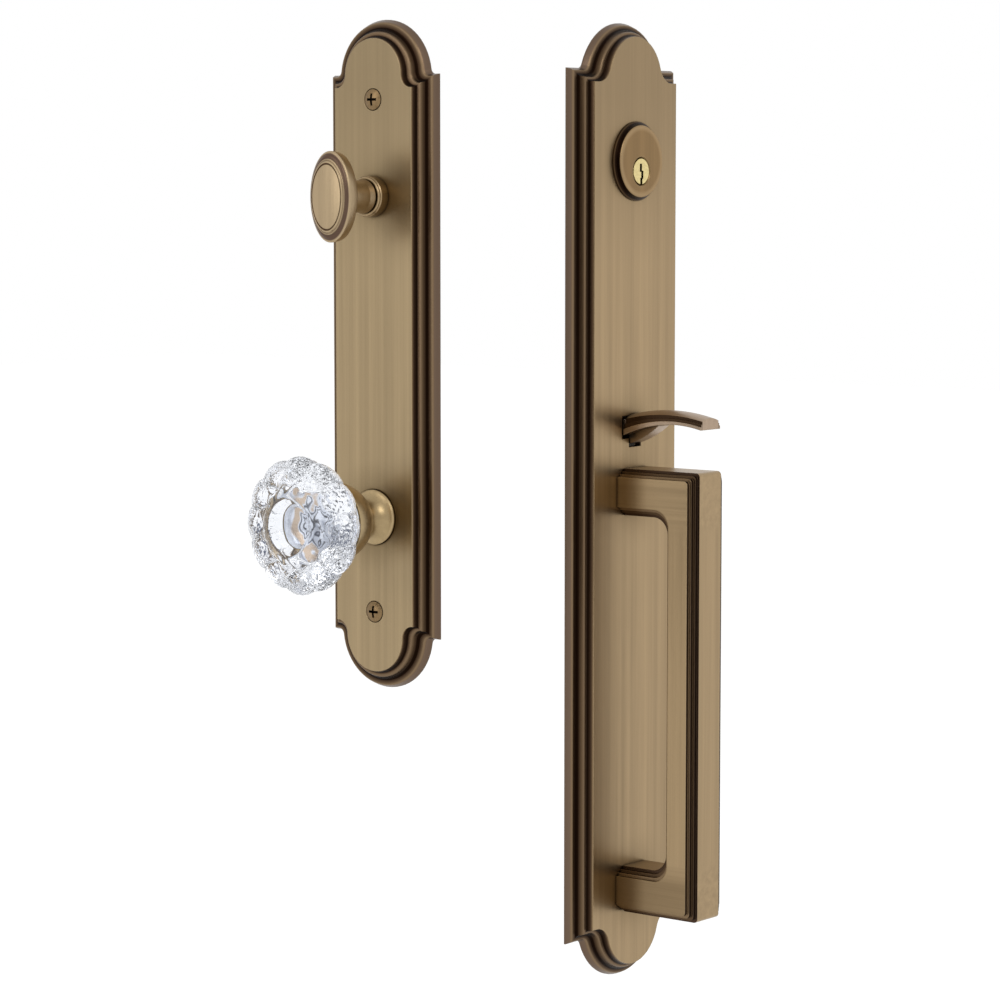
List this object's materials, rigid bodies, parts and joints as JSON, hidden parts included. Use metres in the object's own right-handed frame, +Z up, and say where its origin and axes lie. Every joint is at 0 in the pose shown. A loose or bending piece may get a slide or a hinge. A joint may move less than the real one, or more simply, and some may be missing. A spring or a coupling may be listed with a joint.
{
  "type": "entry door handleset",
  "caption": "Antique brass entry door handleset: arched outside plate with keyed cylinder, thumb piece and D pull grip, and an inside plate with oval thumb turn and scalloped crystal knob.",
  "frame": {"origin": "middle of the outside plate's back face, where it lies on the door", "axes": "+Y into the door behind the outside plate, whose front faces -Y; +Z up along the plate; the inside half stands at -X and faces -X"},
  "size_m": [0.2783, 0.0834, 0.457],
  "materials": {
    "antique_brass": "brushed, with dark patina in the recesses",
    "bright_brass": "satin",
    "dark_bronze": "satin, darkened",
    "zinc_steel": "zinc plated",
    "crystal": "clear, polished, faceted"
  },
  "bodies": {
    "root": {"exterior_plate": "antique_brass", "lock_cylinder": "antique_brass", "cylinder_nut": "zinc_steel", "driver_pins": "bright_brass", "pin_springs": "zinc_steel", "pin_cover": "zinc_steel", "thumb_pin": "zinc_steel", "thumb_bracket": "zinc_steel", "bracket_screws": "zinc_steel", "thumb_spring": "zinc_steel", "pull_grip": "antique_brass", "grip_screws": "zinc_steel", "bolt_posts": "bright_brass", "interior_plate": "antique_brass", "mounting_screws": "dark_bronze", "turn_collar": "antique_brass", "turn_washer": "zinc_steel", "knob_chassis": "zinc_steel", "chassis_screws": "zinc_steel", "chassis_cover": "zinc_steel", "knob_spring": "zinc_steel"},
    "key_plug": {"key_plug": "bright_brass", "key_pins": "bright_brass", "tailpiece": "zinc_steel", "plug_cap": "zinc_steel"},
    "thumb_piece": {"thumb_piece": "antique_brass"},
    "latch_lifter": {"latch_lifter": "zinc_steel"},
    "thumb_turn": {"thumb_turn": "antique_brass", "turn_spindle": "zinc_steel", "turn_clip": "zinc_steel"},
    "glass_knob": {"glass_knob": "crystal", "knob_cup": "antique_brass", "knob_set_screw": "zinc_steel", "knob_spindle": "zinc_steel", "knob_clip": "zinc_steel"}
  },
  "joints": [
    {"name": "key_turn", "type": "hinge", "parent": "root", "child": "key_plug", "pos_m": [0, 0, 0.15885], "axis": [0, 1, 0], "range_deg": [-90, 90]},
    {"name": "thumb_press", "type": "hinge", "parent": "root", "child": "thumb_piece", "pos_m": [0, -0.0026, 0.0386], "axis": [1, 0, 0], "range_deg": [0, 12], "stiffness_Nm_per_rad": 1.5, "springref_deg": -8.59},
    {"name": "latch_lift", "type": "slide", "parent": "root", "child": "latch_lifter", "axis": [0, 0, 1], "range_m": [0, 0.0026], "deforming": ["thumb_spring"]},
    {"name": "bolt_turn", "type": "hinge", "parent": "root", "child": "thumb_turn", "pos_m": [-0.1716, -0.00264, 0.14835], "axis": [1, 0, 0], "range_deg": [0, 90]},
    {"name": "knob_turn", "type": "hinge", "parent": "root", "child": "glass_knob", "pos_m": [-0.1716, -0.00264, 0.00865], "axis": [1, 0, 0], "range_deg": [-45, 45], "stiffness_Nm_per_rad": 0.6}
  ],
  "couplings": [
    {"joint": "latch_lift", "follows": "thumb_press", "m_per_rad": 0.012}
  ]
}
